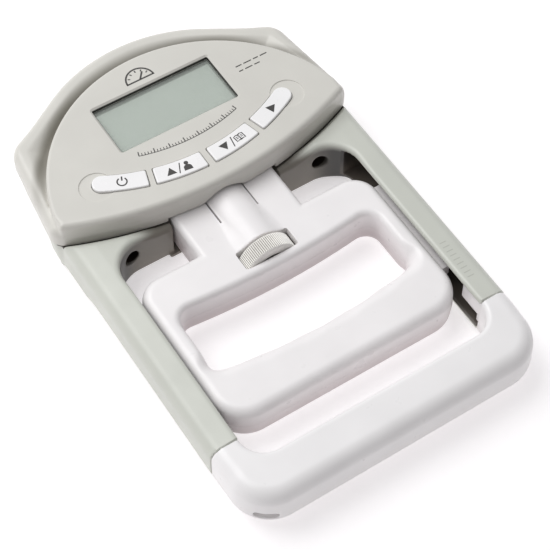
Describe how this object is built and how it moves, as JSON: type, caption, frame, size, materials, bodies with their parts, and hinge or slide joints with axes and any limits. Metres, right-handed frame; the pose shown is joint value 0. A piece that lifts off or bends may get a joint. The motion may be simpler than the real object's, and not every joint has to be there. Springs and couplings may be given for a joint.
{
  "type": "hand dynamometer",
  "caption": "Electronic grip-strength gauge: display head with sloped window and keys, U-shaped frame, sliding finger handle with a knurled adjusting wheel.",
  "frame": {"origin": "centre of the bottom face of the bounding box, under the middle of the gauge lying on its back", "axes": "+Z out of the display face, +Y from the palm bar towards the display head, +X towards the right side of the face"},
  "size_m": [0.1274, 0.198, 0.029],
  "materials": {
    "body_plastic": "satin pale grey-green ABS",
    "face_plastic": "satin light grey ABS",
    "white_plastic": "satin white ABS",
    "key_plastic": null,
    "lens_glass": "clear acrylic window",
    "lcd_glass": "blank grey-green liquid crystal cell",
    "dark_plastic": "black moulded holder",
    "elastomer": "zebra connector strip",
    "board": "green circuit board",
    "epoxy": "black epoxy cap",
    "silicone": "translucent grey silicone",
    "wheel_metal": "knurled, bead-blasted",
    "screw_steel": "zinc-plated steel",
    "nut_brass": "plain turned brass",
    "beam_metal": "machined",
    "gauge_foil": "amber polyimide film",
    "contact_metal": "nickel-plated spring steel",
    "cell_jacket": "plain black jacket",
    "lead_jacket": "insulated wire"
  },
  "bodies": {
    "frame": {"head_cover": "face_plastic", "main_frame": "body_plastic", "display_lens": "lens_glass", "lcd_panel": "lcd_glass", "lcd_holder": "dark_plastic", "elastomer_strips": "elastomer", "end_grip": "white_plastic", "end_grip_plate": "white_plastic", "pull_nut": "nut_brass", "load_cell_beam": "beam_metal", "strain_gauges": "gauge_foil", "load_cell_bolts": "screw_steel", "circuit_board": "board", "controller_chip": "epoxy", "keypad_mat": "silicone", "board_screws": "screw_steel", "cover_screws": "screw_steel", "end_grip_screws": "screw_steel", "tongue_screws": "screw_steel", "aaa_cells": "cell_jacket", "battery_springs": "contact_metal", "battery_contacts": "contact_metal", "battery_leads": "lead_jacket", "load_cell_leads": "lead_jacket"},
    "handle": {"handle_upper_shell": "white_plastic", "handle_lower_shell": "white_plastic", "handle_screws": "screw_steel", "wheel_washers": "screw_steel"},
    "wheel": {"adjuster_wheel": "wheel_metal", "adjuster_screw": "screw_steel"},
    "power_key": {"power_key": "key_plastic"},
    "user_key": {"user_key": "key_plastic"},
    "recall_key": {"recall_key": "key_plastic"},
    "start_key": {"start_key": "key_plastic"},
    "battery_door": {"battery_door": "body_plastic"}
  },
  "joints": [
    {"name": "handle_slide", "type": "slide", "parent": "frame", "child": "handle", "axis": [0, 1, 0], "range_m": [-0.003, 0.014]},
    {"name": "wheel_turn", "type": "hinge", "parent": "handle", "child": "wheel", "pos_m": [0, -0.01035, 0.0114], "axis": [0, 1, 0], "range_deg": [-540, 2520]},
    {"name": "power_key_press", "type": "slide", "parent": "frame", "child": "power_key", "axis": [0, 0, -1], "range_m": [0, 0.0007], "stiffness_N_per_m": 550},
    {"name": "user_key_press", "type": "slide", "parent": "frame", "child": "user_key", "axis": [0, 0, -1], "range_m": [0, 0.0007], "stiffness_N_per_m": 550},
    {"name": "recall_key_press", "type": "slide", "parent": "frame", "child": "recall_key", "axis": [0, 0, -1], "range_m": [0, 0.0007], "stiffness_N_per_m": 550},
    {"name": "start_key_press", "type": "slide", "parent": "frame", "child": "start_key", "axis": [0, 0, -1], "range_m": [0, 0.0007], "stiffness_N_per_m": 550},
    {"name": "battery_door_tilt", "type": "hinge", "parent": "frame", "child": "battery_door", "pos_m": [-0.042, 0.0746, 0.0002], "axis": [1, 0, 0], "range_deg": [0, 70]}
  ],
  "couplings": [
    {"joint": "wheel_turn", "follows": "handle_slide", "rad_per_m": 3141.6}
  ]
}
